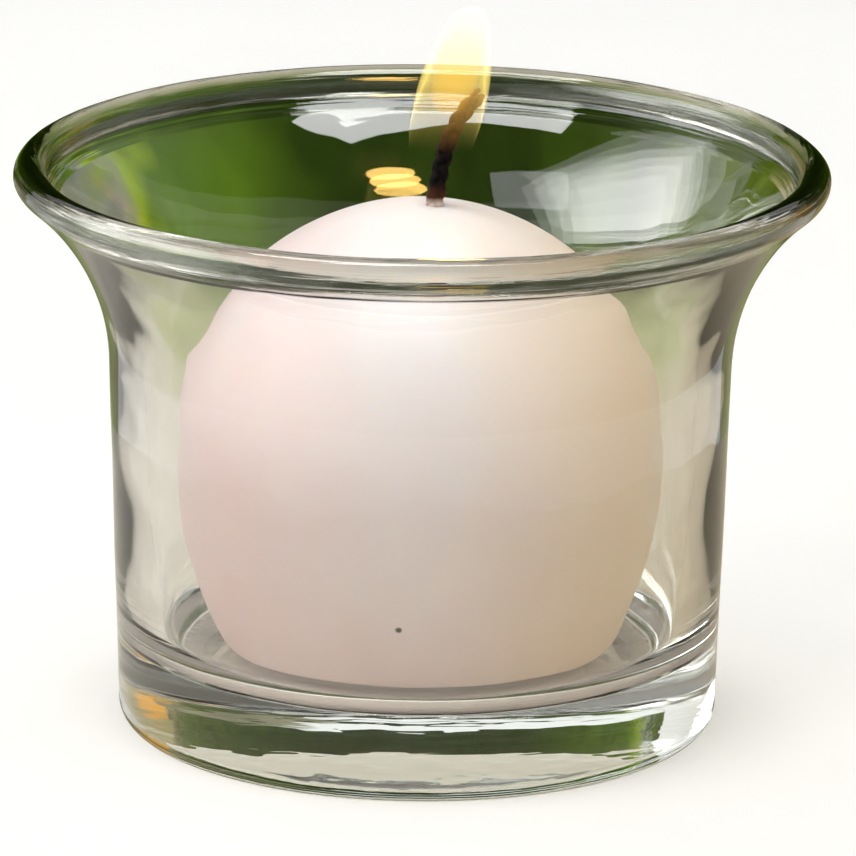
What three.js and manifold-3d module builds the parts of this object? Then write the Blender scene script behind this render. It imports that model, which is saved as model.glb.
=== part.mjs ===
// A glass votive holder and the ball candle that stands in it.
// Millimetres, +Z up. The origin is the centre of the base, on the surface that the holder stands on.
import * as THREE from "three";
import { mergeVertices } from "three/addons/utils/BufferGeometryUtils.js";
import Module from "manifold-3d";

// Glass holder: a press-moulded cup with a thick base, a drafted well and a flared, fire-polished mouth
const rimDiameter = 84;
const holderHeight = 60;
const footDiameter = 61.8; // outside of the wall, carried down to the table
const waistDiameter = 64.2; // outside of the wall where the flare starts
const waistHeight = 38.5;
const waistWall = 2.8; // glass thickness where the flare starts
const lipWall = 1.6; // glass thickness that the flare thins to beside the bead
const lipThickness = 3.4; // bead round the mouth, proud of the inner surface
const lipBlend = 0.8; // round between the bead and the inner surface
const wellDiameter = 53.8; // inside of the wall, carried down to the floor
const floorThickness = 8.2;
const heelRadius = 2.5;
const wellCornerRadius = 5;
const puntDiameter = 46; // hollow under the base, inside the ring that the holder stands on
const puntDepth = 1;

// Candle: a wax ball on a broad foot, bored for the wick and recessed for the wick tab
const candleClearance = 1.5; // between the ball's radius and the narrow end of the well
const candleMiddle = 21.2; // widest part of the ball over its foot
const candleDraw = 5.4; // how far each side draws in from there to the foot
const candleFootRound = 2;

// Wick: braided cotton, upright in the wax, then leaning and curling over where it burns
const wickDiameter = 2.1;
const wickTipDiameter = 1.6;
const wickExposed = 13.1; // length that stands out of the wax
const wickLean = THREE.MathUtils.degToRad(7);
const wickCurl = THREE.MathUtils.degToRad(45); // added to the lean, most of it near the tip
const wickOffset = 1.3; // how far the wick stands from the middle of the ball

// Wick tab: a stamped tin-plate disc whose neck is crimped on the wick
const tabDiameter = 15;
const tabThickness = 0.4;
const neckHeight = 5; // over the top of the disc
const neckWall = 0.4;
const neckBlend = 0.8; // drawn radius between the disc and its neck
const crimpLength = 2.4;
const crimpSqueeze = 0.25; // how far each side of the neck is pressed in

// Clearances between pieces
const seatGap = 0.3; // candle to the floor of the well
const wickGap = 0.2; // wick to the tab's neck, and wick to the wax
const tabGap = 0.25; // tab to the recess in the wax

// Fineness of the round surfaces
const glassSides = 64;
const waxSides = 48;
const tabSides = 28;
const wickSides = 12;

// Sizes that follow from the ones above
const lipRadius = lipThickness / 2;
const ballRadius = wellDiameter / 2 - candleClearance;
const sideRadius = (candleMiddle ** 2 + candleDraw ** 2) / (2 * candleDraw); // lower half of the ball
const wickRadius = wickDiameter / 2;
const wickEmerges = candleMiddle + Math.sqrt(ballRadius ** 2 - wickOffset ** 2); // over the candle's foot
const boreRadius = wickRadius + wickGap;
const neckRadius = boreRadius + neckWall;
const neckTop = tabThickness + neckHeight;
const crimpMiddle = neckTop - crimpLength / 2;

// Point of a profile, by its distance from the axis and its height.
function at(radius, height) {
  return new THREE.Vector2(radius, height);
}

// Points of an arc in a profile, from one angle to another, both ends included.
function arc(centre, radius, from, to, steps) {
  return Array.from({ length: steps + 1 }, (_, i) => {
    const angle = from + ((to - from) * i) / steps;
    return at(centre.x + radius * Math.cos(angle), centre.y + radius * Math.sin(angle));
  });
}

// Direction of one profile point seen from another.
function angleOf(point, centre) {
  return Math.atan2(point.y - centre.y, point.x - centre.x);
}

// The same direction as an angle, counted so that it lies within half a turn of another.
function near(angle, other) {
  return other + Math.atan2(Math.sin(angle - other), Math.cos(angle - other));
}

// Straight drafted wall of a profile, with the unit normal that points away from the axis.
function wallLine(low, high) {
  const along = high.clone().sub(low).normalize();
  return { low, high, outward: at(along.y, -along.x) };
}

// Round between a wall and the level surface at its low end, and the direction where it meets the wall.
function footRound(wall, radius) {
  const inset = (radius * (1 + wall.outward.y)) / wall.outward.x;
  return { centre: at(wall.low.x - inset, wall.low.y + radius), wallAngle: angleOf(wall.outward, at(0, 0)) };
}

// Outer arc of the flare: it leaves the top of the wall smoothly and runs smoothly into the round lip.
function flareArc(wall, lipCentre) {
  const toWall = wall.high.clone().sub(lipCentre);
  const reach = lipRadius - toWall.dot(wall.outward);
  const radius = (toWall.lengthSq() - lipRadius ** 2) / (2 * reach);
  const centre = wall.high.clone().addScaledVector(wall.outward, radius);
  const lipAngle = angleOf(lipCentre, centre);
  return { centre, radius, lipAngle, wallAngle: near(angleOf(wall.high, centre), lipAngle) };
}

// Inner arc of the flare: it leaves the top of the well's wall smoothly and thins the glass up to the bead,
// where a small round takes over.
function innerArc(wall, outside, lipCentre) {
  const lipSide = at(Math.cos(outside.lipAngle), Math.sin(outside.lipAngle));
  const underBead = lipSide.multiplyScalar(outside.radius + lipWall).add(outside.centre);
  const toBead = underBead.sub(wall.high);
  const radius = toBead.lengthSq() / (2 * toBead.dot(wall.outward));
  const centre = wall.high.clone().addScaledVector(wall.outward, radius);
  const toLip = centre.distanceTo(lipCentre);
  const toBlend = radius + lipBlend;
  const spread = (toLip ** 2 + toBlend ** 2 - (lipRadius + lipBlend) ** 2) / (2 * toLip * toBlend);
  const blendAngle = angleOf(lipCentre, centre) + Math.acos(spread);
  const blendCentre = at(Math.cos(blendAngle), Math.sin(blendAngle)).multiplyScalar(toBlend).add(centre);
  const wallAngle = near(angleOf(wall.high, centre), blendAngle);
  return { centre, radius, blendAngle, blendCentre, wallAngle };
}

// Solid of revolution about Z.
function revolve(profile, sides) {
  return new THREE.LatheGeometry(profile, sides).rotateX(Math.PI / 2);
}

// Glass: one profile from the middle of the underside, round the lip, to the middle of the well's floor
function glassGeometry() {
  const outer = wallLine(at(footDiameter / 2, 0), at(waistDiameter / 2, waistHeight));
  const innerWaist = waistDiameter / 2 - waistWall;
  const inner = wallLine(at(wellDiameter / 2, floorThickness), at(innerWaist, waistHeight));
  const lipCentre = at(rimDiameter / 2 - lipRadius, holderHeight - lipRadius);

  const puntRadius = ((puntDiameter / 2) ** 2 + puntDepth ** 2) / (2 * puntDepth);
  const puntCentre = at(0, puntDepth - puntRadius);
  const puntEdge = angleOf(at(puntDiameter / 2, 0), puntCentre);

  const heel = footRound(outer, heelRadius);
  const corner = footRound(inner, wellCornerRadius);
  const outside = flareArc(outer, lipCentre);
  const inside = innerArc(inner, outside, lipCentre);
  const lipStart = near(outside.lipAngle + Math.PI, 0);
  const lipEnd = near(angleOf(inside.blendCentre, lipCentre), lipStart + Math.PI);
  const blendStart = angleOf(lipCentre, inside.blendCentre);
  const blendEnd = near(angleOf(inside.centre, inside.blendCentre), blendStart);

  return revolve(
    [
      ...arc(puntCentre, puntRadius, Math.PI / 2, puntEdge, 4),
      ...arc(heel.centre, heelRadius, -Math.PI / 2, heel.wallAngle, 4),
      ...arc(outside.centre, outside.radius, outside.wallAngle, outside.lipAngle, 9),
      ...arc(lipCentre, lipRadius, lipStart, lipEnd, 8).slice(1),
      ...arc(inside.blendCentre, lipBlend, blendStart, blendEnd, 3).slice(1),
      ...arc(inside.centre, inside.radius, inside.blendAngle, inside.wallAngle, 9).slice(1),
      ...arc(corner.centre, wellCornerRadius, corner.wallAngle, -Math.PI / 2, 5),
      at(0, floorThickness),
    ],
    glassSides,
  );
}

// Cutting one closed shape out of another
const wasm = await Module();
wasm.setup();

function solidOf(geometry) {
  const bare = geometry.clone();
  bare.deleteAttribute("normal");
  bare.deleteAttribute("uv");
  const merged = mergeVertices(bare);
  return new wasm.Manifold(
    new wasm.Mesh({
      numProp: 3,
      vertProperties: new Float32Array(merged.attributes.position.array),
      triVerts: new Uint32Array(merged.index.array),
    }),
  );
}

function cutFrom(body, cutter) {
  const mesh = solidOf(body).subtract(solidOf(cutter)).getMesh();
  const geometry = new THREE.BufferGeometry();
  geometry.setAttribute("position", new THREE.BufferAttribute(mesh.vertProperties, 3));
  geometry.setIndex(new THREE.BufferAttribute(mesh.triVerts, 1));
  return geometry;
}

// Wax: the ball on its foot, less the bore for the wick and the recess for the tab
function waxGeometry() {
  const middle = at(0, candleMiddle);
  const sideCentre = at(ballRadius - sideRadius, candleMiddle);
  const roundDrop = candleMiddle - candleFootRound;
  const roundReach = Math.sqrt((sideRadius - candleFootRound) ** 2 - roundDrop ** 2);
  const roundCentre = at(sideCentre.x + roundReach, candleFootRound);
  const roundEnd = angleOf(roundCentre, sideCentre);
  const ball = revolve(
    [
      at(0, 0),
      ...arc(roundCentre, candleFootRound, -Math.PI / 2, roundEnd, 3),
      ...arc(sideCentre, sideRadius, roundEnd, 0, 8).slice(1),
      ...arc(middle, ballRadius, 0, Math.PI / 2, 15).slice(1),
    ],
    waxSides,
  );

  const below = -wickDiameter;
  const above = wickEmerges + wickDiameter;
  const recessRadius = tabDiameter / 2 + tabGap;
  const recessTop = tabThickness + tabGap;
  const neckRecess = neckRadius + crimpSqueeze + tabGap;
  const neckRecessTop = neckTop + tabGap;
  const cutter = revolve(
    [
      at(0, below),
      at(recessRadius, below),
      at(recessRadius, recessTop),
      at(neckRecess + neckBlend, recessTop),
      at(neckRecess, recessTop + neckBlend),
      at(neckRecess, neckRecessTop),
      at(boreRadius, neckRecessTop),
      at(boreRadius, above),
      at(0, above),
    ],
    tabSides,
  );
  return cutFrom(ball, cutter.translate(wickOffset, 0, 0));
}

// How far the crimp presses in at a height over the candle's foot: a smooth bump, crimpLength long.
function squeezeAt(height) {
  const share = Math.min(1, Math.abs(height - crimpMiddle) / (crimpLength / 2));
  return crimpSqueeze * (1 - share ** 2) ** 2;
}

// Heights of the rings that shape the crimp, from low to high.
function crimpHeights(steps) {
  return Array.from({ length: steps + 1 }, (_, i) => crimpMiddle + crimpLength * (i / steps - 0.5));
}

// Wick tab: disc, drawn blend and neck in one revolved sheet, then pinched across X
function tabGeometry() {
  const edge = tabThickness / 2;
  const blendCentre = at(neckRadius + neckBlend, tabThickness + neckBlend);
  const heights = crimpHeights(6);
  const geometry = revolve(
    [
      at(boreRadius, 0),
      ...arc(at(tabDiameter / 2 - edge, edge), edge, -Math.PI / 2, Math.PI / 2, 4),
      ...arc(blendCentre, neckBlend, -Math.PI / 2, -Math.PI, 3),
      ...heights.map((height) => at(neckRadius, height)),
      ...heights.reverse().map((height) => at(boreRadius, height)),
      at(boreRadius, 0),
    ],
    tabSides,
  );
  const points = geometry.attributes.position;
  for (let i = 0; i < points.count; i++) {
    const share = squeezeAt(points.getZ(i)) / Math.hypot(points.getX(i), points.getY(i));
    points.setX(i, points.getX(i) * (1 - share));
    points.setY(i, points.getY(i) * (1 + share));
  }
  return geometry;
}

// Direction of the wick at a length from its foot, as an angle from upright towards +X.
function wickBend(length) {
  const burnt = (length - wickEmerges) / wickExposed;
  return burnt > 0 ? wickLean + wickCurl * burnt ** 2 : 0;
}

// Middle of the wick at a length from its foot, added up in short steps.
function wickCentre(length) {
  const centre = at(0, Math.min(length, wickEmerges));
  const steps = 24;
  const step = Math.max(0, length - wickEmerges) / steps;
  for (let i = 0; i < steps; i++) {
    const bend = wickBend(wickEmerges + step * (i + 0.5));
    centre.x += step * Math.sin(bend);
    centre.y += step * Math.cos(bend);
  }
  return centre;
}

// Wick: rings along its line, closed at both ends
function wickGeometry() {
  const tipRadius = wickTipDiameter / 2;
  const tipStart = wickEmerges + wickExposed - tipRadius;
  const exposedSteps = 12;
  const tipSteps = 3;
  const stations = [0, ...crimpHeights(6)];
  for (let i = 0; i <= exposedSteps; i++) {
    stations.push(THREE.MathUtils.lerp(wickEmerges, tipStart, i / exposedSteps));
  }
  for (let i = 1; i < tipSteps; i++) {
    stations.push(tipStart + tipRadius * Math.sin((i / tipSteps) * (Math.PI / 2)));
  }

  const halfWidthAt = (length) => {
    const burnt = THREE.MathUtils.clamp((length - wickEmerges) / (tipStart - wickEmerges), 0, 1);
    const intoTip = Math.max(0, length - tipStart) / tipRadius;
    return THREE.MathUtils.lerp(wickRadius, tipRadius, burnt) * Math.sqrt(1 - intoTip ** 2);
  };

  const positions = [];
  for (const length of stations) {
    const bend = wickBend(length);
    const centre = wickCentre(length);
    for (let k = 0; k < wickSides; k++) {
      const turn = (2 * Math.PI * k) / wickSides;
      const across = (halfWidthAt(length) - squeezeAt(length)) * Math.cos(turn);
      const deep = (halfWidthAt(length) + squeezeAt(length)) * Math.sin(turn);
      positions.push(centre.x + across * Math.cos(bend), deep, centre.y - across * Math.sin(bend));
    }
  }
  const foot = positions.length / 3;
  const tip = foot + 1;
  const end = wickCentre(wickEmerges + wickExposed);
  positions.push(0, 0, 0, end.x, 0, end.y);

  const triangles = [];
  const corner = (ring, k) => ring * wickSides + (k % wickSides);
  const lastRing = stations.length - 1;
  for (let k = 0; k < wickSides; k++) {
    for (let ring = 0; ring < lastRing; ring++) {
      triangles.push(corner(ring, k), corner(ring, k + 1), corner(ring + 1, k));
      triangles.push(corner(ring, k + 1), corner(ring + 1, k + 1), corner(ring + 1, k));
    }
    triangles.push(foot, corner(0, k + 1), corner(0, k));
    triangles.push(tip, corner(lastRing, k), corner(lastRing, k + 1));
  }
  const geometry = new THREE.BufferGeometry();
  geometry.setAttribute("position", new THREE.Float32BufferAttribute(positions, 3));
  geometry.setIndex(triangles);
  return geometry;
}

// Materials
const clearGlass = new THREE.MeshStandardMaterial({
  color: 0xeef4ea,
  roughness: 0.04,
  metalness: 0,
  transparent: true,
  opacity: 0.35,
});
const whiteWax = new THREE.MeshStandardMaterial({ color: 0xf4ece6, roughness: 0.45, metalness: 0 });
const charredCotton = new THREE.MeshStandardMaterial({ color: 0x1d1512, roughness: 0.95, metalness: 0 });
const tinPlate = new THREE.MeshStandardMaterial({ color: 0xb9babc, roughness: 0.35, metalness: 1 });

function piece(name, geometry, material) {
  const mesh = new THREE.Mesh(geometry, material);
  mesh.name = name;
  return mesh;
}

// Assembly: the wick and its tab go up into the ball together, and the candle stands on the well's floor
const wickAndTab = new THREE.Group();
wickAndTab.position.x = wickOffset;
wickAndTab.add(piece("wick", wickGeometry(), charredCotton));
wickAndTab.add(piece("wick_tab", tabGeometry(), tinPlate));

const candle = new THREE.Group();
candle.position.z = floorThickness + seatGap;
candle.add(piece("wax_ball", waxGeometry(), whiteWax));
candle.add(wickAndTab);

const votiveHolder = new THREE.Group();
votiveHolder.add(piece("glass_holder", glassGeometry(), clearGlass));
votiveHolder.add(candle);

export default votiveHolder;
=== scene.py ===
import math

import bpy
from mathutils import Matrix, Vector


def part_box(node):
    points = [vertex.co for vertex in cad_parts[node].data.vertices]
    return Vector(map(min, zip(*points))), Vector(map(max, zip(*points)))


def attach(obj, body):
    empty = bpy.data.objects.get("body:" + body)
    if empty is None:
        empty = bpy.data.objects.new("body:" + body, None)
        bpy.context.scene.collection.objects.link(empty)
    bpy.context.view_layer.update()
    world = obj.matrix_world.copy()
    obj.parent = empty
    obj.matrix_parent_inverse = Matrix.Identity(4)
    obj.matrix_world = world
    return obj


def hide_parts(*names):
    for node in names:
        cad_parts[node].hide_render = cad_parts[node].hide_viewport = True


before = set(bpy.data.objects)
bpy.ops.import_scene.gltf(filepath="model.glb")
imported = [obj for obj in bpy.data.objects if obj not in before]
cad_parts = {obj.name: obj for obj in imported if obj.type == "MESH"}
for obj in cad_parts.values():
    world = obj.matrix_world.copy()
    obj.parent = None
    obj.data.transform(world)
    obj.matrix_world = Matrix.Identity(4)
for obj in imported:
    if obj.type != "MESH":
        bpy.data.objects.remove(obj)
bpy.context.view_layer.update()  # glass cup, wax ball, wick and wick tab, as packed
print("frame loaded:", ", ".join(sorted(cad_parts)))

mm = 0.001  # the dictionaries are in millimetres, the scene is in metres
mergeLimit = 0.002 * mm  # points closer than this become one
usualNoise = (0.3, 0.7)  # most of a noise lies between these


# Shared modelling steps

def inMetres(values):
    return [value * mm for value in values]


def arcPoints(centre, radius, start, end, steps):
    turn = (end - start) / steps
    angles = [start + turn * i for i in range(steps + 1)]
    return [(centre[0] + radius * math.cos(a), centre[1] + radius * math.sin(a)) for a in angles]


def straight(start, end, steps):  # the points between two ends, without the ends
    shares = [i / steps for i in range(1, steps)]
    return [(start[0] + (end[0] - start[0]) * s, start[1] + (end[1] - start[1]) * s) for s in shares]


def angleOf(point, centre):
    return math.atan2(point[1] - centre[1], point[0] - centre[0])


def nearAngle(angle, other):  # the same angle, within half a turn of the other
    return other + math.atan2(math.sin(angle - other), math.cos(angle - other))


def deselectAll():
    if bpy.context.object and bpy.context.object.mode != "OBJECT":
        bpy.ops.object.mode_set(mode="OBJECT")
    bpy.ops.object.select_all(action="DESELECT")


def pickOnly(piece):
    deselectAll()
    piece.select_set(True)
    bpy.context.view_layer.objects.active = piece


def joinAll(pieces, kept):  # the others go into the kept one
    deselectAll()
    for piece in pieces:
        piece.select_set(True)
    bpy.context.view_layer.objects.active = kept
    if kept.type == "CURVE":
        bpy.ops.object.convert(target="MESH")
    bpy.ops.object.join()
    return bpy.context.object


def addLathe(name, outline, steps, start=0, turn=math.tau):
    # one vertex pushed along the outline, then spun round Z. The outline is (radius, height) in mm
    deselectAll()
    bpy.ops.mesh.primitive_plane_add(size=mm)
    piece = bpy.context.object
    piece.name = piece.data.name = name
    bpy.ops.object.mode_set(mode="EDIT")
    bpy.ops.mesh.merge(type="CENTER")
    points = [Vector((r * math.cos(start), r * math.sin(start), z)) * mm for r, z in outline]
    bpy.ops.transform.translate(value=points[0])
    for before, after in zip(points, points[1:]):
        bpy.ops.mesh.extrude_vertices_move(TRANSFORM_OT_translate={"value": after - before})
    bpy.ops.mesh.select_all(action="SELECT")
    bpy.ops.mesh.spin(steps=steps, angle=-turn, center=(0, 0, 0), axis=(0, 0, 1))  # minus: counter-clockwise
    bpy.ops.mesh.select_all(action="SELECT")
    bpy.ops.mesh.remove_doubles(threshold=mergeLimit)
    bpy.ops.mesh.normals_make_consistent(inside=False)
    bpy.ops.object.mode_set(mode="OBJECT")
    bpy.ops.object.shade_smooth()
    return piece


def moveMesh(piece, offset):  # the place goes into the mesh, and the object stays at the origin
    pickOnly(piece)
    bpy.ops.object.mode_set(mode="EDIT")
    bpy.ops.mesh.select_all(action="SELECT")
    bpy.ops.transform.translate(value=offset)
    bpy.ops.object.mode_set(mode="OBJECT")


def applyModifier(piece, kind, **settings):
    pickOnly(piece)
    modifier = piece.modifiers.new(kind.title(), kind)
    for key, value in settings.items():
        setattr(modifier, key, value)
    bpy.ops.object.modifier_apply(modifier=modifier.name)


def roughen(piece, grain, depth, above=None):  # slow unevenness, as cast and moulded surfaces have
    clouds = bpy.data.textures.new(piece.name + "Clouds", "CLOUDS")
    clouds.noise_scale = grain * mm
    clouds.noise_depth = 1
    group = piece.vertex_groups.new(name="uneven")
    for vertex in piece.data.vertices:
        share = 1 if above is None else (vertex.co.z / mm - above) / grain
        group.add([vertex.index], min(1, max(0, share)), "REPLACE")
    applyModifier(piece, "DISPLACE", texture=clouds, strength=depth * mm, mid_level=0.5,
                  texture_coords="LOCAL", vertex_group=group.name)


# Shared shading steps

def newMaterial(name):
    material = bpy.data.materials.new(name)
    material.use_nodes = True
    tree = material.node_tree
    return material, tree, tree.nodes["Principled BSDF"]


def setInputs(shader, values):
    for key, value in values.items():
        shader.inputs[key].default_value = value


def addNode(tree, kind, inputs=None, **settings):
    node = tree.nodes.new("ShaderNode" + kind)
    for key, value in settings.items():
        setattr(node, key, value)
    for key, value in (inputs or {}).items():
        if isinstance(value, bpy.types.NodeSocket):
            tree.links.new(value, node.inputs[key])
        else:
            node.inputs[key].default_value = value
    return node


def objectPlace(tree):
    return addNode(tree, "TexCoord").outputs["Object"]


def axesOf(tree, place):
    return addNode(tree, "SeparateXYZ", {"Vector": place}).outputs


def stretched(tree, place, scale):
    return addNode(tree, "Mapping", {"Vector": place, "Scale": scale}).outputs[0]


def noiseValue(tree, place, scale, detail):
    return addNode(tree, "TexNoise", {"Vector": place, "Scale": scale, "Detail": detail}).outputs["Fac"]


def mathValue(tree, operation, *values, **settings):
    return addNode(tree, "Math", dict(enumerate(values)), operation=operation, **settings).outputs[0]


def vectorMath(tree, operation, *values):
    node = addNode(tree, "VectorMath", dict(enumerate(values)), operation=operation)
    return node.outputs["Value" if operation in ("LENGTH", "DISTANCE") else "Vector"]


def spread(tree, value, low, high, toLow=0.0, toHigh=1.0):  # low..high becomes toLow..toHigh, clamped
    settings = {"Value": value, "From Min": low, "From Max": high, "To Min": toLow, "To Max": toHigh}
    return addNode(tree, "MapRange", settings).outputs["Result"]


def mixColour(tree, share, first, second):
    mix = addNode(tree, "Mix", {0: share}, data_type="RGBA")
    for index, value in ((6, first), (7, second)):
        if isinstance(value, bpy.types.NodeSocket):
            tree.links.new(value, mix.inputs[index])
        else:
            mix.inputs[index].default_value = (*value, 1)
    return mix.outputs[2]


def twoTones(tree, value, reach, tones):  # from the first tone to the second over the reach
    return mixColour(tree, spread(tree, value, *reach), *tones)


def fillRamp(ramp, colours):  # each colour with its place from 0 to 1, in order
    stops = ramp.color_ramp.elements
    for i, (position, colour) in enumerate(colours):
        stop = stops[i] if i < 2 else stops.new(1)
        stop.position, stop.color = position, (*colour, 1)


def addBump(tree, height, strength, depth):
    return addNode(tree, "Bump", {"Height": height, "Strength": strength, "Distance": depth * mm})


def mixSurface(tree, share, first, second, output="Material Output"):
    mix = addNode(tree, "MixShader", {0: share, 1: first.outputs[0], 2: second.outputs[0]})
    tree.links.new(mix.outputs[0], tree.nodes[output].inputs["Surface"])


def useMaterial(piece, material):
    piece.data.materials.clear()
    piece.data.materials.append(material)


# Glass cup

glassCup = dict(
    footRadius=30.9,  # outside of the wall, carried down to the table
    waistRadius=32.1,
    waistHeight=38.5,
    waistWall=2.8,
    lipWall=1.6,  # the flare thins to this beside the bead
    lipRadius=1.7,  # bead round the mouth
    lipBlend=0.8,
    wellRadius=26.9,  # inside of the wall, carried down to the floor
    floorHeight=8.2,
    heelRadius=2.5,
    cornerRadius=5.0,
    puntRadius=23.0,
    puntDepth=1.0,
    steps=240,
    cuts=dict(punt=16, heel=10, wall=14, flare=26, lip=22, blend=8, corner=12, floor=12),  # outline
    waveGrain=11.0,  # unevenness of the pressing
    waveDepth=0.12,
    waveStart=2.0,  # over the table
    refraction=1.5,
    glassColour=(0.80, 0.92, 0.78, 1),
    glassDensity=4.0,
    passColour=(0.95, 0.95, 0.94, 1),  # of the light that falls through
    bumps=dict(  # scale and detail of the noise, strength, depth
        mould=(130, 1.0, 0.1, 0.4),
        under=(95, 3.0, 0.17, 1.2),
        lip=(1300, 3.0, 0.8, 0.3),
        ring=(620, 5.0, 0.1, 0.2),
    ),
    underTop=(2.4, 1.2),  # the wavy underside ends between these heights
    lipStart=(55.6, 56.6),
    lipPaintedShade=(0.62, 0.62, 0.56),  # painted shade: the bead's colour is a little darker
    lipDraw=(0.016, 0.016, 1),  # draws the lines out along the lip
    ringEdge=(-1.0, 0.2),  # from the edge of the punt
    ringTop=(0.8, 0.5),
    ringRoughness=0.3,
    smudge=(55, 3.0),  # scale and detail
    smudgeReach=(0.45, 0.8),
    smudgeRoughness=(0.015, 0.05),
)


def wallRound(low, high, radius):  # round between a leaning wall and the flat at its foot
    length = math.dist(low, high)
    outward = ((high[1] - low[1]) / length, (low[0] - high[0]) / length)
    inset = radius * (1 + outward[1]) / outward[0]
    return (low[0] - inset, low[1] + radius), math.atan2(outward[1], outward[0])


def flareArc(low, high, point, pointRadius):
    # leaves the top of the wall without a crease, and touches a round of that radius about the point
    length = math.dist(low, high)
    outward = ((high[1] - low[1]) / length, (low[0] - high[0]) / length)
    away = (high[0] - point[0], high[1] - point[1])
    reach = pointRadius - (away[0] * outward[0] + away[1] * outward[1])
    radius = (away[0] ** 2 + away[1] ** 2 - pointRadius ** 2) / (2 * reach)
    return (high[0] + outward[0] * radius, high[1] + outward[1] * radius), radius


def cupOutline(cup):
    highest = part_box("glass_holder")[1]
    cuts = cup["cuts"]
    rimRadius, height = highest.x / mm, highest.z / mm
    lipRadius, lipBlend = cup["lipRadius"], cup["lipBlend"]
    lip = (rimRadius - lipRadius, height - lipRadius)
    outerFoot, outerTop = (cup["footRadius"], 0), (cup["waistRadius"], cup["waistHeight"])
    innerFoot = (cup["wellRadius"], cup["floorHeight"])
    innerTop = (cup["waistRadius"] - cup["waistWall"], cup["waistHeight"])
    puntArc = (cup["puntRadius"] ** 2 + cup["puntDepth"] ** 2) / (2 * cup["puntDepth"])
    puntCentre = (0, cup["puntDepth"] - puntArc)
    puntEdge = angleOf((cup["puntRadius"], 0), puntCentre)

    outer, outerRadius = flareArc(outerFoot, outerTop, lip, lipRadius)
    lipAngle = angleOf(lip, outer)
    reach = outerRadius + cup["lipWall"]
    underBead = (outer[0] + reach * math.cos(lipAngle), outer[1] + reach * math.sin(lipAngle))
    inner, innerRadius = flareArc(innerFoot, innerTop, underBead, 0)

    # a small round takes the inner surface over to the bead
    toLip, toBlend = math.dist(inner, lip), innerRadius + lipBlend
    opening = (toLip ** 2 + toBlend ** 2 - (lipRadius + lipBlend) ** 2) / (2 * toLip * toBlend)
    blendAngle = angleOf(lip, inner) + math.acos(opening)
    blend = (inner[0] + toBlend * math.cos(blendAngle), inner[1] + toBlend * math.sin(blendAngle))
    innerStart = nearAngle(angleOf(innerTop, inner), blendAngle)
    innerFlare = arcPoints(inner, innerRadius, blendAngle, innerStart, cuts["flare"])
    outerStart = nearAngle(angleOf(outerTop, outer), lipAngle)
    outerFlare = arcPoints(outer, outerRadius, outerStart, lipAngle, cuts["flare"])

    heel, heelEnd = wallRound(outerFoot, outerTop, cup["heelRadius"])
    corner, cornerStart = wallRound(innerFoot, innerTop, cup["cornerRadius"])
    heelRound = arcPoints(heel, cup["heelRadius"], -math.pi / 2, heelEnd, cuts["heel"])
    cornerRound = arcPoints(corner, cup["cornerRadius"], cornerStart, -math.pi / 2, cuts["corner"])
    lipStart = nearAngle(lipAngle + math.pi, 0)
    lipEnd = nearAngle(angleOf(blend, lip), lipStart + math.pi)
    blendStart = angleOf(lip, blend)
    blendEnd = nearAngle(angleOf(inner, blend), blendStart)
    return (
        arcPoints(puntCentre, puntArc, math.pi / 2, puntEdge, cuts["punt"])
        + heelRound
        + straight(heelRound[-1], outerFlare[0], cuts["wall"])
        + outerFlare
        + arcPoints(lip, lipRadius, lipStart, lipEnd, cuts["lip"])[1:]
        + arcPoints(blend, lipBlend, blendStart, blendEnd, cuts["blend"])[1:]
        + innerFlare[1:]
        + straight(innerFlare[-1], cornerRound[0], cuts["wall"])
        + cornerRound
        + straight(cornerRound[-1], (0, cup["floorHeight"]), cuts["floor"])
        + [(0, cup["floorHeight"])]
    )


def clearGlass(cup):
    material, tree, glass = newMaterial("clearGlass")
    place = objectPlace(tree)
    setInputs(glass, {"Metallic": 0, "Transmission Weight": 1, "IOR": cup["refraction"]})

    # a wavy underside, fine lines round the lip, and a grained ring where the cup stands
    height = axesOf(tree, place)["Z"]
    away = vectorMath(tree, "LENGTH", vectorMath(tree, "MULTIPLY", place, (1, 1, 0)))
    ring = spread(tree, away, *inMetres(cup["puntRadius"] + edge for edge in cup["ringEdge"]))
    standing = mathValue(tree, "MULTIPLY", ring, spread(tree, height, *inMetres(cup["ringTop"])))
    below = spread(tree, height, *inMetres(cup["underTop"]))
    atLip = spread(tree, height, *inMetres(cup["lipStart"]))
    # painted shade: the glass colour darkens at the lip bead
    tree.links.new(mixColour(tree, atLip, (1, 1, 1), cup["lipPaintedShade"]), glass.inputs["Base Color"])
    drawn = stretched(tree, place, cup["lipDraw"])

    normal = None
    masks = dict(under=below, lip=atLip, ring=standing)  # the drag of the mould is all over
    for layer, (scale, detail, strength, depth) in cup["bumps"].items():
        relief = noiseValue(tree, drawn if layer == "lip" else place, scale, detail)
        if layer in masks:
            relief = mathValue(tree, "MULTIPLY", masks[layer], relief)
        bump = addBump(tree, relief, strength, depth)
        if normal:
            tree.links.new(normal, bump.inputs["Normal"])
        normal = bump.outputs["Normal"]
    tree.links.new(normal, glass.inputs["Normal"])
    smudge = noiseValue(tree, place, *cup["smudge"])
    smudge = spread(tree, smudge, *cup["smudgeReach"], *cup["smudgeRoughness"])
    roughness = mathValue(tree, "MULTIPLY_ADD", standing, cup["ringRoughness"], smudge)
    tree.links.new(roughness, glass.inputs["Roughness"])

    # lamps and soft bounce light pass straight through, so that the wax inside is lit
    rays = addNode(tree, "LightPath").outputs
    passing = mathValue(tree, "MAXIMUM", rays["Is Shadow Ray"], rays["Is Diffuse Ray"])
    mixSurface(tree, passing, glass, addNode(tree, "BsdfTransparent", {"Color": cup["passColour"]}))
    tint = addNode(tree, "VolumeAbsorption", {"Color": cup["glassColour"], "Density": cup["glassDensity"]})
    tree.links.new(tint.outputs[0], tree.nodes["Material Output"].inputs["Volume"])
    return material


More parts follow.
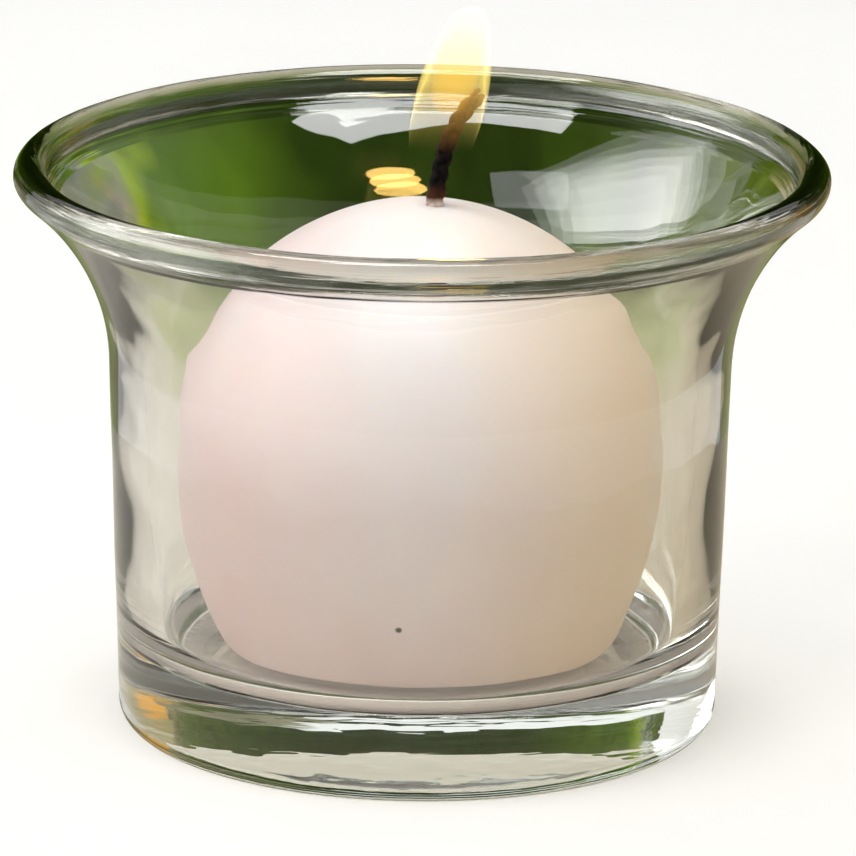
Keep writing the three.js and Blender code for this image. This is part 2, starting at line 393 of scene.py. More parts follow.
def makeGlassCup():
    cup = addLathe("glassCup", cupOutline(glassCup), glassCup["steps"])
    roughen(cup, glassCup["waveGrain"], glassCup["waveDepth"], above=glassCup["waveStart"])
    useMaterial(cup, clearGlass(glassCup))
    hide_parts("glass_holder")
    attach(cup, "holder")
    print("glass cup:", len(cup.data.polygons), "faces")


# Wax ball

waxBall = dict(
    radius=25.4,
    middle=21.2,  # widest part over the foot
    draw=5.4,  # each side draws in from there to the foot
    footRound=2.0,
    steps=160,
    cuts=dict(foot=8, floor=12, side=40, dome=60),
    wickOffset=1.3,
    boreRadius=1.25,
    boreSteps=48,
    boreReach=4.0,  # the cutter runs past the wax
    closedRadius=0.92,  # the wax hugs the wick near the top
    closing=(40.8, 41.8),  # over the foot
    recessRadius=7.75,  # room for the wick tab
    recessDepth=0.65,
    neckRadius=2.15,
    neckDepth=5.65,
    neckChamfer=0.8,
    waveGrain=16.0,
    waveDepth=0.18,
    smoothAngle=math.radians(35),
    # painted shade: the wax goes from white high up to a darker colour low down, between these heights
    white=(0.87, 0.81, 0.79),
    paintedShade=(0.74, 0.58, 0.51),
    paintedShadeHeights=(46, 12),
    paintedLightTints=(  # painted coloured light, rosy to the left and tan to the right: where each starts and is full, its share, its colour
        ((2, -14), 0.7, (0.86, 0.60, 0.55)),
        ((10, 28), 0.8, (0.90, 0.66, 0.37)),
    ),
    cloud=(70, 4.0),  # scale and detail
    cloudDrift=14.0,  # moves the edges of the painted light
    mottleReach=(0.4, 0.75),
    mottleShare=0.25,
    mottleColour=(0.91, 0.85, 0.82),
    speck=(-1.8, -23.4, 16.8),  # a grain of soot on the front
    speckEdge=(0.42, 0.2),
    speckColour=(0.05, 0.04, 0.03),
    depthWeight=0.5,  # light goes into the wax
    depthColours=(1.0, 0.75, 0.55),
    depth=4.0,
    refraction=1.44,
    roughness=(0.34, 0.5),
    grain=(900, 2.0),
    grainBump=(0.12, 0.15),
)


def waxOutline(ball):
    cuts = ball["cuts"]
    sideRadius = (ball["middle"] ** 2 + ball["draw"] ** 2) / (2 * ball["draw"])
    sideCentre = (ball["radius"] - sideRadius, ball["middle"])
    reach = math.sqrt((sideRadius - ball["footRound"]) ** 2 - (ball["middle"] - ball["footRound"]) ** 2)
    roundCentre = (sideCentre[0] + reach, ball["footRound"])
    roundEnd = angleOf(roundCentre, sideCentre)
    foot = arcPoints(roundCentre, ball["footRound"], -math.pi / 2, roundEnd, cuts["foot"])
    side = arcPoints(sideCentre, sideRadius, roundEnd, 0, cuts["side"])
    dome = arcPoints((0, ball["middle"]), ball["radius"], 0, math.pi / 2, cuts["dome"])
    return [(0, 0)] + straight((0, 0), foot[0], cuts["floor"]) + foot + side[1:] + dome[1:]


def boreOutline(ball):  # room for the tab, its neck and the wick, narrow near the top
    recess, neck, bore = ball["recessRadius"], ball["neckRadius"], ball["boreRadius"]
    depth, chamfer, closed = ball["recessDepth"], ball["neckChamfer"], ball["closedRadius"]
    low, high = -ball["boreReach"], ball["radius"] * 2 + ball["boreReach"]
    return [
        (0, low), (recess, low), (recess, depth), (neck + chamfer, depth), (neck, depth + chamfer),
        (neck, ball["neckDepth"]), (bore, ball["neckDepth"]),
        (bore, ball["closing"][0]), (closed, ball["closing"][1]), (closed, high), (0, high),
    ]


def whiteWax(ball):
    material, tree, wax = newMaterial("whiteWax")
    place = objectPlace(tree)
    axes = axesOf(tree, place)
    cloud = noiseValue(tree, place, *ball["cloud"])
    drift = mathValue(tree, "MULTIPLY_ADD", cloud, ball["cloudDrift"] * mm, axes["X"])
    # painted shade: the wax is darker towards the bottom
    colour = twoTones(tree, axes["Z"], inMetres(ball["paintedShadeHeights"]), (ball["white"], ball["paintedShade"]))
    # painted light: rosy on the left side of the ball, tan on the right
    for reach, share, tint in ball["paintedLightTints"]:
        colour = mixColour(tree, spread(tree, drift, *inMetres(reach), 0.0, share), colour, tint)
    mottle = spread(tree, cloud, *ball["mottleReach"], 0.0, ball["mottleShare"])
    colour = mixColour(tree, mottle, colour, ball["mottleColour"])
    fromSpeck = vectorMath(tree, "DISTANCE", place, Vector(ball["speck"]) * mm)
    colour = twoTones(tree, fromSpeck, inMetres(ball["speckEdge"]), (colour, ball["speckColour"]))
    tree.links.new(colour, wax.inputs["Base Color"])
    setInputs(wax, {"Subsurface Weight": ball["depthWeight"], "Subsurface Radius": ball["depthColours"],
                    "Subsurface Scale": ball["depth"] * mm, "IOR": ball["refraction"]})
    tree.links.new(spread(tree, cloud, *usualNoise, *ball["roughness"]), wax.inputs["Roughness"])
    bump = addBump(tree, noiseValue(tree, place, *ball["grain"]), *ball["grainBump"])
    tree.links.new(bump.outputs["Normal"], wax.inputs["Normal"])
    return material


def makeWaxBall():
    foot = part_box("wax_ball")[0].z
    ball = addLathe("waxBall", waxOutline(waxBall), waxBall["steps"])
    roughen(ball, waxBall["waveGrain"], waxBall["waveDepth"])
    cutter = addLathe("wickBore", boreOutline(waxBall), waxBall["boreSteps"])
    moveMesh(cutter, (waxBall["wickOffset"] * mm, 0, 0))
    applyModifier(ball, "BOOLEAN", object=cutter, operation="DIFFERENCE", solver="EXACT")
    bpy.data.objects.remove(cutter)
    moveMesh(ball, (0, 0, foot))
    pickOnly(ball)
    bpy.ops.object.shade_smooth_by_angle(angle=waxBall["smoothAngle"])
    useMaterial(ball, whiteWax(waxBall))
    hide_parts("wax_ball")
    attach(ball, "candle")
    print("wax ball:", len(ball.data.polygons), "faces")


# Wick: three strands braided along a line that leans and curls over where it burns

wick = dict(
    strands=3,
    strandRadius=0.56,
    strandRound=2,  # bevel steps of each strand
    braidWidth=0.44,  # how far a strand swings to each side
    braidDepth=0.3,
    braidPitch=5.2,
    exposed=13.1,
    lean=math.radians(7),
    curl=math.radians(45),  # added to the lean, most of it near the tip
    bendSteps=24,
    rings=5,  # for each millimetre
    burntThin=0.22,  # thinner by this share at the tip
    frayStart=1.6,  # before the tip
    frayWiden=0.25,
    frayThin=0.55,
    charGrain=0.6,
    charDepth=0.12,
    fibre=(1800, 5.0),  # scale and detail
    fibreBump=(0.8, 0.12),
    soot=((0.002, 0.002, 0.002), (0.012, 0.008, 0.006)),
    sootReach=(0.35, 0.7),
    stains=(  # over the wax, where each starts and is full, and its colour
        ((2.4, 0.4), (0.10, 0.035, 0.015)),
        ((0.9, 0.2), (0.70, 0.58, 0.50)),
    ),
    burning=(-6.5, -0.4),  # from the tip
    burntColour=(0.07, 0.02, 0.003),
    emberColour=(0.16, 0.04, 0.002),
    roughness=0.9,
    gloss=0.08,
)


def wickBend(length, emerges):
    burnt = (length - emerges) / wick["exposed"]
    return wick["lean"] + wick["curl"] * burnt ** 2 if burnt > 0 else 0


def wickPoint(length, emerges, across, deep):
    x, z = 0, min(length, emerges)
    step = max(0, length - emerges) / wick["bendSteps"]
    for i in range(wick["bendSteps"]):  # the line is added up in short steps
        bend = wickBend(emerges + step * (i + 0.5), emerges)
        x += step * math.sin(bend)
        z += step * math.cos(bend)
    bend = wickBend(length, emerges)
    return Vector((x + across * math.cos(bend), deep, z - across * math.sin(bend))) * mm


def charredCotton(emerges, tip):
    material, tree, cotton = newMaterial("charredCotton")
    place = objectPlace(tree)
    height = axesOf(tree, place)["Z"]
    fibre = noiseValue(tree, place, *wick["fibre"])
    colour = twoTones(tree, fibre, wick["sootReach"], wick["soot"])
    for rises, stain in wick["stains"]:
        colour = twoTones(tree, height, [emerges + rise * mm for rise in rises], (colour, stain))
    burning = spread(tree, height, *(tip + rise * mm for rise in wick["burning"]))
    colour = mixColour(tree, burning, colour, wick["burntColour"])
    tree.links.new(colour, cotton.inputs["Base Color"])
    ember = mathValue(tree, "MULTIPLY", burning, spread(tree, fibre, *usualNoise))
    glow = mixColour(tree, ember, (0, 0, 0), wick["emberColour"])
    tree.links.new(glow, cotton.inputs["Emission Color"])
    setInputs(cotton, {"Roughness": wick["roughness"], "Specular IOR Level": wick["gloss"],
                       "Emission Strength": 1.0})
    bump = addBump(tree, fibre, *wick["fibreBump"])
    tree.links.new(bump.outputs["Normal"], cotton.inputs["Normal"])
    return material


def makeWick():
    lowest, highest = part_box("wick")
    offset = waxBall["wickOffset"]
    emerges = waxBall["middle"] + math.sqrt(waxBall["radius"] ** 2 - offset ** 2)
    total = emerges + wick["exposed"]
    count = int(total * wick["rings"])
    strands = []
    for strand in range(wick["strands"]):
        curve = bpy.data.curves.new(f"wickStrand{strand}", "CURVE")
        curve.dimensions = "3D"
        curve.bevel_depth = wick["strandRadius"] * mm
        curve.bevel_resolution = wick["strandRound"]
        curve.use_fill_caps = True
        spline = curve.splines.new("POLY")
        spline.points.add(count)
        for i, point in enumerate(spline.points):
            length = total * i / count
            phase = math.tau * (length / wick["braidPitch"] + strand / wick["strands"])
            fray = max(0, (length - total + wick["frayStart"]) / wick["frayStart"])
            across = wick["braidWidth"] * math.sin(phase) * (1 + wick["frayWiden"] * fray)
            deep = wick["braidDepth"] * math.sin(2 * phase)
            point.co = (*wickPoint(length, emerges, across, deep), 1)
            burnt = max(0, (length - emerges) / wick["exposed"])
            point.radius = (1 - wick["burntThin"] * burnt) * (1 - wick["frayThin"] * fray)
        strands.append(bpy.data.objects.new(curve.name, curve))
        bpy.context.scene.collection.objects.link(strands[-1])
    braid = joinAll(strands, strands[0])
    braid.name = braid.data.name = "wickBraid"
    moveMesh(braid, (offset * mm, 0, lowest.z))
    roughen(braid, wick["charGrain"], wick["charDepth"])
    pickOnly(braid)
    bpy.ops.object.shade_smooth()
    useMaterial(braid, charredCotton(lowest.z + emerges * mm, highest.z))
    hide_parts("wick")
    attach(braid, "candle")
    print("wick:", len(braid.data.polygons), "faces")


# Wick tab: stamped disc with a neck crimped on the wick

wickTab = dict(
    radius=7.5,
    thickness=0.4,
    boreRadius=1.25,
    neckWall=0.4,
    neckHeight=5.0,
    neckBlend=0.8,
    crimpLength=2.4,
    crimpSqueeze=0.25,
    steps=96,
    cuts=dict(edge=8, blend=6, crimp=12),
    smoothAngle=math.radians(40),
    tones=((0.50, 0.50, 0.51), (0.68, 0.68, 0.69)),
    flow=(260, 4.0),  # scale and detail
    roughness=(0.28, 0.45),
    scratch=(2400, 2.0),
    scratchBump=(0.15, 0.05),
)


def tinPlate():
    material, tree, tin = newMaterial("tinPlate")
    place = objectPlace(tree)
    flow = noiseValue(tree, place, *wickTab["flow"])
    tree.links.new(twoTones(tree, flow, usualNoise, wickTab["tones"]), tin.inputs["Base Color"])
    setInputs(tin, {"Metallic": 1})
    tree.links.new(spread(tree, flow, *usualNoise, *wickTab["roughness"]), tin.inputs["Roughness"])
    bump = addBump(tree, noiseValue(tree, place, *wickTab["scratch"]), *wickTab["scratchBump"])
    tree.links.new(bump.outputs["Normal"], tin.inputs["Normal"])
    return material


def tabOutline(tab, crimpMiddle):
    cuts = tab["cuts"]
    edge = tab["thickness"] / 2
    neck = tab["boreRadius"] + tab["neckWall"]
    blend = (neck + tab["neckBlend"], tab["thickness"] + tab["neckBlend"])
    heights = [crimpMiddle + tab["crimpLength"] * (i / cuts["crimp"] - 0.5) for i in range(cuts["crimp"] + 1)]
    return (
        [(tab["boreRadius"], 0)]
        + arcPoints((tab["radius"] - edge, edge), edge, -math.pi / 2, math.pi / 2, cuts["edge"])
        + arcPoints(blend, tab["neckBlend"], -math.pi / 2, -math.pi, cuts["blend"])
        + [(neck, height) for height in heights]
        + [(tab["boreRadius"], height) for height in reversed(heights)]
        + [(tab["boreRadius"], 0)]
    )


def makeWickTab():
    tab = wickTab
    crimpMiddle = tab["thickness"] + tab["neckHeight"] - tab["crimpLength"] / 2
    disc = addLathe("wickTab", tabOutline(tab, crimpMiddle), tab["steps"])
    for vertex in disc.data.vertices:  # the crimp, pinched across X
        share = min(1, abs(vertex.co.z / mm - crimpMiddle) / (tab["crimpLength"] / 2))
        squeeze = tab["crimpSqueeze"] * mm * (1 - share ** 2) ** 2 / math.hypot(vertex.co.x, vertex.co.y)
        vertex.co.x *= 1 - squeeze
        vertex.co.y *= 1 + squeeze
    moveMesh(disc, (waxBall["wickOffset"] * mm, 0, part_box("wick_tab")[0].z))
    pickOnly(disc)
    bpy.ops.object.shade_smooth_by_angle(angle=tab["smoothAngle"])
    useMaterial(disc, tinPlate())
    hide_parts("wick_tab")
    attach(disc, "candle")
    print("wick tab:", len(disc.data.polygons), "faces")


# Flame: a bright skin of gas round a deeper core, both fading out at the foot and the tip

flame = dict(
    foot=3.2,  # over the wax
    height=17.8,
    halfWidth=3.75,
    belly=0.8,  # below 1, the widest place sits lower
    fullness=0.4,  # smaller is fuller
    skin=0.7,  # thickness of the bright layer
    skinLeast=0.012,  # share of it that is left at the lower edge
    skinStart=0.16,  # these are shares of the height
    skinEnd=0.975,
    skinFoot=0.4,
    skinTip=0.3,
    coreSpan=(0.36, 0.88),
    skinFootCurve=1.7,
    coreShare=0.62,  # of the half width
    footShift=-0.05,  # from the wick's own line
    lean=0.2,  # sideways for each millimetre up
    steps=64,
    skinCuts=40,
    coreCuts=30,
    skinColour=(1.0, 0.80, 0.22),
    coreColour=(1.0, 0.50, 0.01),
    footShares=(1.0, 0.7, 0.4),  # of each colour, at the foot
    skinGlow=210.0,  # for each metre of gas
    coreGlow=95.0,
    skinCover=0.1,
    coreCover=0.04,
    coverStops=((0.18, 0), (0.30, 0.15), (0.50, 0.8), (0.68, 1.0), (0.92, 0)),
    lampRises=(0.6, 0.85, 1.15, 1.45),
    lampColour=(1.0, 0.62, 0.17),
    lampRadius=3.0,
    lampWatts=0.0009,
    glintRadius=3.2,
    glintWatts=0.010,
    glintShift=-1.7,
)


def glowingGas(name, colour, strength, cover, bottom, top):
    material, tree, light = newMaterial(name)
    rise = spread(tree, axesOf(tree, objectPlace(tree))["Z"], bottom, top)
    warmer = tuple(c * share for c, share in zip(colour, flame["footShares"]))
    setInputs(light, {"Base Color": (0, 0, 0, 1), "Roughness": 1, "Specular IOR Level": 0,
                      "Emission Strength": 1.0})
    tree.links.new(mixColour(tree, rise, warmer, colour), light.inputs["Emission Color"])
    ramp = addNode(tree, "ValToRGB", {"Fac": rise})
    fillRamp(ramp, [(position, [cover * share] * 3) for position, share in flame["coverStops"]])
    tree.links.new(ramp.outputs["Color"], light.inputs["Alpha"])
    gas = addNode(tree, "Emission", {"Color": (*colour, 1), "Strength": strength})
    tree.links.new(gas.outputs[0], tree.nodes["Material Output"].inputs["Volume"])
    return material


def flameWidth(rise):
    return flame["halfWidth"] * math.sin(math.pi * rise ** flame["belly"]) ** flame["fullness"]


def skinOutline():  # a bell that is open below, down inside and up outside
    inside, outside = [], []
    start, cuts = flame["skinStart"], flame["skinCuts"]
    for i in range(cuts):
        rise = start + (1 - start) * i / cuts
        wide, height = flameWidth(rise), flame["height"] * rise
        taper = min(1, (rise - start) / flame["skinFoot"]) ** flame["skinFootCurve"]
        taper = max(flame["skinLeast"], taper * min(1, (1 - rise) / flame["skinTip"]))
        outside.append((wide, height))
        if rise < flame["skinEnd"]:  # both sides are taken at the same heights, so they never cross
            inside.append((wide - flame["skin"] * taper, height))
    return [(0, flame["height"] * flame["skinEnd"])] + inside[::-1] + outside + [(0, flame["height"])]


def coreOutline():
    low, high = (flame["height"] * share for share in flame["coreSpan"])
    rises = [i / flame["coreCuts"] for i in range(1, flame["coreCuts"])]
    middle = [(flameWidth(rise) * flame["coreShare"], low + (high - low) * rise) for rise in rises]
    return [(0, low)] + middle + [(0, high)]


def makeFlame():
    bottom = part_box("wax_ball")[1].z / mm + flame["foot"]
    skin = addLathe("flame", skinOutline(), flame["steps"])
    core = addLathe("flameCore", coreOutline(), flame["steps"])
    span = inMetres((bottom, bottom + flame["height"]))
    for piece, layer in ((skin, "skin"), (core, "core")):
        settings = (flame[layer + key] for key in ("Colour", "Glow", "Cover"))
        useMaterial(piece, glowingGas("flame" + layer.title(), *settings, *span))
    glow = joinAll((core, skin), skin)
    for vertex in glow.data.vertices:
        vertex.co.x += flame["lean"] * vertex.co.z
    footX = waxBall["wickOffset"] + flame["footShift"]
    moveMesh(glow, (footX * mm, 0, bottom * mm))
    glow.visible_shadow = False
    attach(glow, "candle")

    # one lamp warms the wax, and three more are only seen mirrored in the glass
    for i, rise in enumerate(flame["lampRises"]):
        up = flame["height"] * rise
        shift = flame["glintShift"] if i else 0
        place = inMetres((footX + flame["lean"] * up + shift, 0, bottom + up))
        bpy.ops.object.light_add(type="POINT", location=place)
        lamp = bpy.context.object
        lamp.visible_camera = lamp.visible_transmission = False
        lamp.data.color = flame["lampColour"]
        if i == 0:
            lamp.name = "flameLamp"
            lamp.visible_glossy = False
            lamp.data.energy = flame["lampWatts"]
            lamp.data.shadow_soft_size = flame["lampRadius"] * mm
        else:
            lamp.name = f"flameGlint{i}"
            lamp.visible_diffuse = False
            lamp.data.energy = flame["glintWatts"]
            lamp.data.shadow_soft_size = flame["glintRadius"] * mm
        lamp.parent = glow
    print("flame:", len(glow.data.polygons), "faces")


# Stage: pale floor, soft boxes, and cards that are only mirrored or seen through the glass

paleLime = (0.46, 0.485, 0.255)  # where the green card meets the cream card

floorLook = dict(
    size=8.0,  # metres
    tones=((0.91, 0.90, 0.87), (0.93, 0.92, 0.89)),
    grain=(40, 3.0),  # scale and detail
    roughness=0.85,
    liftSpan=(-0.05, 0.3),  # from before the cup to behind it, in metres
    lift=(0.02, 0.24),
    coverEdge=(29.5, 28.5),  # under the cup
    coverTone=(0.58, 0.50, 0.43),
    coverGrain=(400, 3.0),
    coverDraw=(0.5, 2, 1),
    spots=(
        dict(place=(-9, 20, 0), radius=9, soft=6, colour=(0.13, 0.12, 0.05)),
        dict(place=(-3, 20.5, 0), radius=1.6, soft=2.5, colour=(0.95, 0.52, 0.08)),
        dict(place=(11, 20, 0), radius=7, soft=4, colour=(0.88, 0.89, 0.86)),
    ),
)


def paleFloor():
    material, tree, surface = newMaterial("paleFloor")
    place = objectPlace(tree)
    tone = twoTones(tree, noiseValue(tree, place, *floorLook["grain"]), usualNoise, floorLook["tones"])

    # under the cup lies the shade of the candle, and the light that the thick base gathers
    shade = floorLook["coverTone"]
    drawn = stretched(tree, place, floorLook["coverDraw"])
    for spot in floorLook["spots"]:
        reach = vectorMath(tree, "DISTANCE", place, Vector(spot["place"]) * mm)
        ragged = noiseValue(tree, drawn, *floorLook["coverGrain"])
        ragged = mathValue(tree, "MULTIPLY_ADD", ragged, spot["soft"] * mm, reach)
        edge = inMetres((spot["radius"] + spot["soft"], spot["radius"]))
        shade = twoTones(tree, ragged, edge, (shade, spot["colour"]))
    away = vectorMath(tree, "LENGTH", place)
    tone = twoTones(tree, away, inMetres(floorLook["coverEdge"]), (tone, shade))
    tree.links.new(tone, surface.inputs["Base Color"])

    # further back, where the lamps fall off, the floor itself is lifted to white
    rays = addNode(tree, "LightPath").outputs
    seen = rays["Is Camera Ray"]
    for kind in ("Is Glossy Ray", "Is Transmission Ray"):
        seen = mathValue(tree, "MAXIMUM", seen, rays[kind])
    back = spread(tree, axesOf(tree, place)["Y"], *floorLook["liftSpan"], *floorLook["lift"])
    lift = mathValue(tree, "MULTIPLY", seen, back)
    tree.links.new(mixColour(tree, lift, (0, 0, 0), (1, 1, 1)), surface.inputs["Emission Color"])
    setInputs(surface, {"Roughness": floorLook["roughness"], "Emission Strength": 1.0})
    return material


greenCard = dict(
    bowl=((118, 0.5), (270, 2), (540, 36), (765, 144), (900, 460)),
    right=math.radians(43),  # from straight behind the cup
    left=math.radians(42),
    steps=48,
    nearDepth=0.2,  # beyond this many metres the pattern widens
    half=100,  # the greens run this far to each side
    greens=(
        (-100, (0.50, 0.45, 0.32)), (-76, (0.40, 0.38, 0.22)), (-64, (0.09, 0.14, 0.02)),
        (-50, (0.10, 0.17, 0.02)), (-46, (0.36, 0.37, 0.32)), (-41, (0.34, 0.50, 0.02)),
        (-36, (0.085, 0.17, 0.010)), (-22, (0.075, 0.14, 0.008)), (-12, (0.022, 0.046, 0.002)),
        (10, (0.022, 0.042, 0.002)), (24, (0.05, 0.09, 0.006)), (36, (0.08, 0.12, 0.012)),
        (45, (0.11, 0.16, 0.015)), (54, (0.21, 0.21, 0.07)), (64, (0.50, 0.42, 0.20)),
    ),
    streak=(40, 3.0),  # scale and detail
    streakDraw=(2.4, 0.22, 0.5),
    streakShade=(0.55, 1.35),
    sway=22,  # the streaks move the greens to and fro
    limeEdge=(165, 120),
)


def mutedGreen(card):
    material, tree, surface = newMaterial("mutedGreen")
    place = objectPlace(tree)
    axes = axesOf(tree, place)
    nearness = mathValue(tree, "DIVIDE", card["nearDepth"], axes["Y"], use_clamp=True)
    square = mathValue(tree, "MULTIPLY", nearness, nearness)
    across = mathValue(tree, "MULTIPLY", axes["X"], square)
    streak = noiseValue(tree, stretched(tree, place, card["streakDraw"]), *card["streak"])
    swayed = mathValue(tree, "MULTIPLY_ADD", streak, card["sway"] * mm, across)
    half, shift = card["half"], card["sway"] / 2
    ramp = addNode(tree, "ValToRGB", {"Fac": spread(tree, swayed, *inMetres((shift - half, shift + half)))})
    fillRamp(ramp, [((x + half) / (2 * half), colour) for x, colour in card["greens"]])
    shade = spread(tree, streak, *usualNoise, *card["streakShade"])
    tone = vectorMath(tree, "MULTIPLY", ramp.outputs["Color"], shade)
    away = vectorMath(tree, "LENGTH", place)
    tone = twoTones(tree, away, inMetres(card["limeEdge"]), (tone, paleLime))
    tree.links.new(tone, surface.inputs["Base Color"])
    setInputs(surface, {"Roughness": 1, "Specular IOR Level": 0})
    return material


creamCard = dict(
    ring=((34, 0.3), (60, 0.3), (119.5, 0.3)),  # runs a little way under the green card
    steps=48,
    weave=(60, 2.0),  # scale and detail
    tones=((0.64, 0.59, 0.49), (0.72, 0.68, 0.59)),
    tan=(0.56, 0.48, 0.34),
    tanEdge=(0, 30),  # to the right of the middle
    limeEdge=(88, 114),  # behind the middle
)


def creamCloth(card):
    material, tree, surface = newMaterial("creamCloth")
    place = objectPlace(tree)
    axes = axesOf(tree, place)
    tone = twoTones(tree, noiseValue(tree, place, *card["weave"]), usualNoise, card["tones"])
    tone = twoTones(tree, axes["X"], inMetres(card["tanEdge"]), (tone, card["tan"]))
    tone = twoTones(tree, axes["Y"], inMetres(card["limeEdge"]), (tone, paleLime))
    tree.links.new(tone, surface.inputs["Base Color"])
    setInputs(surface, {"Roughness": 1})
    return material


lowCard = dict(
    ring=((56.5, 10.9), (72, 10.9)),
    start=math.radians(68),
    turn=math.radians(44),
    steps=24,
    white=(0.93, 0.95, 0.95),
    olives=((0.09, 0.09, 0.04), (0.26, 0.25, 0.16)),
    oliveEdge=(3.2, 4.8),  # to the right of the middle
    thread=(140, 4.0),  # scale and detail
    threadReach=(0.35, 0.65),
    threadDraw=(1, 1, 6),
    glow=0.95,
)


def lowTone(card):  # white to the left and olive to the right, and clear from above
    material, tree, surface = newMaterial("lowTone")
    place = objectPlace(tree)
    thread = noiseValue(tree, stretched(tree, place, card["threadDraw"]), *card["thread"])
    olive = twoTones(tree, thread, card["threadReach"], card["olives"])
    tone = twoTones(tree, axesOf(tree, place)["X"], inMetres(card["oliveEdge"]), (card["white"], olive))
    # glows: the white part is painted light, which the base shows as a white highlight band
    tree.links.new(tone, surface.inputs["Emission Color"])
    setInputs(surface, {"Base Color": (0, 0, 0, 1), "Emission Strength": card["glow"]})
    top = addNode(tree, "NewGeometry").outputs["Backfacing"]
    mixSurface(tree, top, surface, addNode(tree, "BsdfTransparent"))
    return material


shadeCard = dict(
    ring=((29.3, 0.15), (32.5, 0.15)),
    steps=96,
    fleck=(90, 3.0),  # scale and detail
    fleckReach=(0.35, 0.65),
    olives=((0.03, 0.045, 0.008), (0.12, 0.13, 0.06)),
)


def darkOlive(card):  # the shade where the cup meets the table
    material, tree, surface = newMaterial("darkOlive")
    fleck = noiseValue(tree, objectPlace(tree), *card["fleck"])
    tone = twoTones(tree, fleck, card["fleckReach"], card["olives"])
    tree.links.new(tone, surface.inputs["Base Color"])
    setInputs(surface, {"Roughness": 1})
    return material


greyCard = dict(  # the rest of the way round; places in metres
    steps=48,
    patch=(7, 2.0),  # scale and detail
    greys=((0.62, 0.58, 0.48), (0.84, 0.82, 0.76)),
    pale=(1.0, 1.0, 0.96),
    paleEdge=(-0.2, -0.5),
    # painted reflection: an amber patch that the base shows as a glint of the flame
    paintedFlameGlintPlace=(0.60, 0.51, 0.14),
    paintedFlameGlint=(0.85, 0.40, 0.03),
    paintedFlameGlintEdge=(0.19, 0.13),
    olive=(0.36, 0.30, 0.11),
    oliveEdge=(0.42, 0.22),
    glow=0.92,
)


def warmGrey(card):
    material, tree, surface = newMaterial("warmGrey")
    place = objectPlace(tree)
    tone = twoTones(tree, noiseValue(tree, place, *card["patch"]), usualNoise, card["greys"])
    tone = twoTones(tree, axesOf(tree, place)["X"], card["paleEdge"], (tone, card["pale"]))
    toGlintPatch = vectorMath(tree, "DISTANCE", place, card["paintedFlameGlintPlace"])
    tone = twoTones(tree, toGlintPatch, card["oliveEdge"], (tone, card["olive"]))
    # painted reflection of the flame, an amber glint
    tone = twoTones(tree, toGlintPatch, card["paintedFlameGlintEdge"], (tone, card["paintedFlameGlint"]))
    tree.links.new(tone, surface.inputs["Emission Color"])
    setInputs(surface, {"Base Color": (0, 0, 0, 1), "Emission Strength": card["glow"]})
    return material


lights = dict(  # metres
    aim=(0, 0, 0.04),
    topBox=dict(place=(-0.03, -0.085, 0.80), size=(0.70, 0.28), watts=5.2),
    topPanel=dict(place=(-0.03, -0.085, 0.81), size=(0.70, 0.28), watts=2.2),  # the panels are only mirrored
    sidePanel=dict(place=(-0.64, -0.06, 0.36), size=(0.95, 0.6), watts=9.5),
    sideParts=(1.0, 0.84, 0.68, 0.52),
    sideStep=0.01,
    sideSplit=3,  # shares out the watts
    sideBox=dict(place=(-0.55, -0.60, 0.50), size=(0.4, 0.4), watts=1.6),
    fillColour=(1, 1, 1, 1),
    fillLevel=0.26,
    glassFillColour=(1, 0.98, 0.92, 1),
    glassFillSpan=(-0.1, 0.6),
    glassFillLevel=(0.04, 0.5),  # that the glass mirrors, in front and behind
)


def addSoftBox(name, box):
    bpy.ops.object.light_add(type="AREA", location=box["place"])
    lamp = bpy.context.object
    lamp.name = name
    lamp.data.shape = "RECTANGLE"
    lamp.data.size, lamp.data.size_y = box["size"]
    lamp.data.energy = box["watts"]
    toCup = Vector(lights["aim"]) - lamp.location
    lamp.rotation_euler = toCup.to_track_quat("-Z", "Y").to_euler()
    lamp.visible_camera = False
    return lamp


def addLights():
    addSoftBox("topBox", lights["topBox"])
    addSoftBox("topPanel", lights["topPanel"]).visible_diffuse = False
    side = lights["sidePanel"]
    for i, part in enumerate(lights["sideParts"]):  # one before the other, for a softer edge
        size = [length * part for length in side["size"]]
        place = Vector(side["place"]) * (1 - lights["sideStep"] * i)
        nested = dict(place=place, size=size, watts=side["watts"] * part ** 2 / lights["sideSplit"])
        addSoftBox(f"sidePanel{i}", nested).visible_diffuse = False
    addSoftBox("sideBox", lights["sideBox"]).visible_glossy = False


def addFill():
    world = bpy.data.worlds.new("softFill")
    bpy.context.scene.world = world
    world.use_nodes = True
    tree = world.node_tree
    fill = tree.nodes["Background"]
    setInputs(fill, {"Color": lights["fillColour"], "Strength": lights["fillLevel"]})
    toward = axesOf(tree, addNode(tree, "TexCoord").outputs["Generated"])["Y"]
    level = spread(tree, toward, *lights["glassFillSpan"], *lights["glassFillLevel"])
    dim = addNode(tree, "Background", {"Color": lights["glassFillColour"], "Strength": level})
    rays = addNode(tree, "LightPath").outputs
    inGlass = mathValue(tree, "MAXIMUM", rays["Is Glossy Ray"], rays["Is Transmission Ray"])
    mixSurface(tree, inGlass, fill, dim, "World Output")


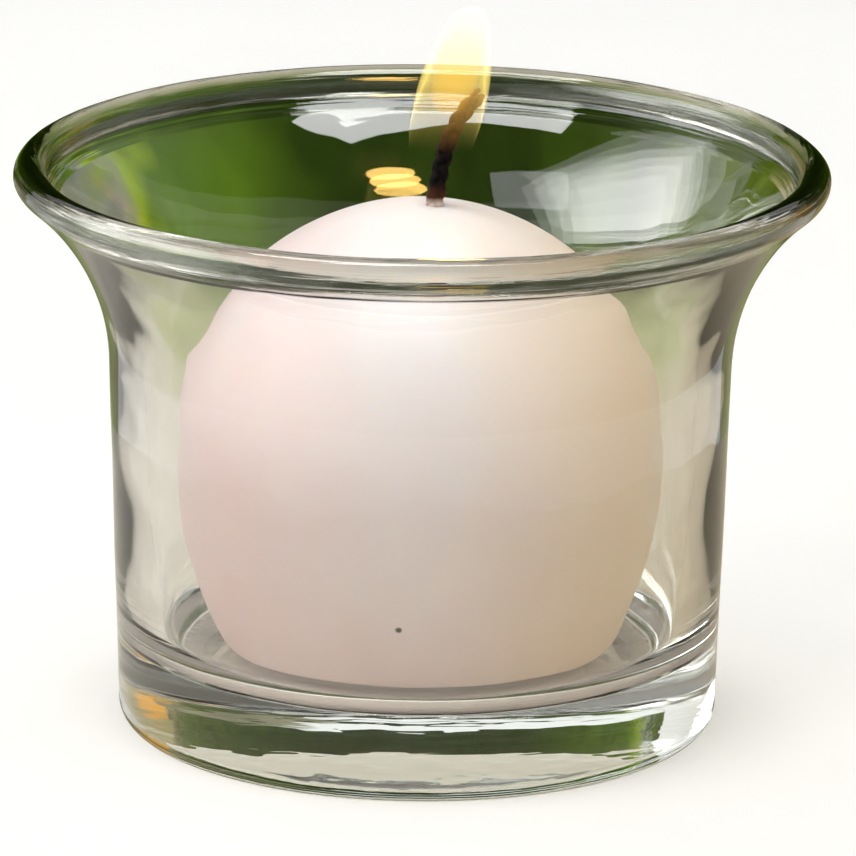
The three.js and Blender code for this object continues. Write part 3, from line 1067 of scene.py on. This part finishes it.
def makeStage():
    deselectAll()
    bpy.ops.mesh.primitive_plane_add(size=floorLook["size"])
    floor = bpy.context.object
    floor.name = floor.data.name = "floor"
    useMaterial(floor, paleFloor())

    bowl, right, left = (greenCard[key] for key in ("bowl", "right", "left"))
    behind = addLathe("greenCard", bowl, greenCard["steps"], math.pi / 2 - right, right + left)
    useMaterial(behind, mutedGreen(greenCard))
    rest = math.tau - right - left
    around = addLathe("greyCard", bowl[2:], greyCard["steps"], math.pi / 2 + left, rest)
    useMaterial(around, warmGrey(greyCard))
    under = addLathe("creamCard", creamCard["ring"], creamCard["steps"])
    useMaterial(under, creamCloth(creamCard))
    low = addLathe("lowCard", lowCard["ring"], lowCard["steps"], lowCard["start"], lowCard["turn"])
    if low.data.polygons[0].normal.z > 0:  # its face looks down, and from above it isn't seen
        low.data.flip_normals()
    useMaterial(low, lowTone(lowCard))
    shade = addLathe("shadeCard", shadeCard["ring"], shadeCard["steps"])
    useMaterial(shade, darkOlive(shadeCard))
    for card in (behind, around, under, low, shade):
        card.visible_camera = card.visible_diffuse = card.visible_shadow = False
    addLights()
    addFill()
    print("stage set")


# Camera: a long lens a little above the rim, as the photograph was taken

camera = dict(
    distance=1.092,  # metres
    elevation=math.radians(15.8),
    roll=math.radians(0.62),
    target=(0.86, 0, 31.23),  # right of the axis and above the middle, so that the cup sits as in the frame
    pixelsPerMm=9.678,  # at the axis
    framePixels=856,
    sensorWidth=36.0,
    clipStart=0.01,  # metres
)


def makeCamera():
    bpy.ops.object.camera_add()
    shooter = bpy.context.object
    shooter.name = "camera"
    turn = (
        Matrix.Rotation(math.pi / 2 - camera["elevation"], 4, "X")
        @ Matrix.Rotation(camera["roll"], 4, "Z")
    )
    away = turn @ Vector((0, 0, camera["distance"]))
    shooter.matrix_world = Matrix.Translation(Vector(camera["target"]) * mm + away) @ turn
    shooter.data.sensor_width = camera["sensorWidth"]
    focalPixels = camera["pixelsPerMm"] / mm * camera["distance"]
    shooter.data.lens = focalPixels * camera["sensorWidth"] / camera["framePixels"]
    shooter.data.clip_start = camera["clipStart"]
    bpy.context.scene.camera = shooter
    print("camera set, lens", round(shooter.data.lens, 1), "mm")


makeCamera()
makeStage()
makeGlassCup()
makeWaxBall()
makeWick()
makeWickTab()
makeFlame()

bpy.context.scene.view_settings.view_transform = "Standard"
bpy.context.view_layer.update()
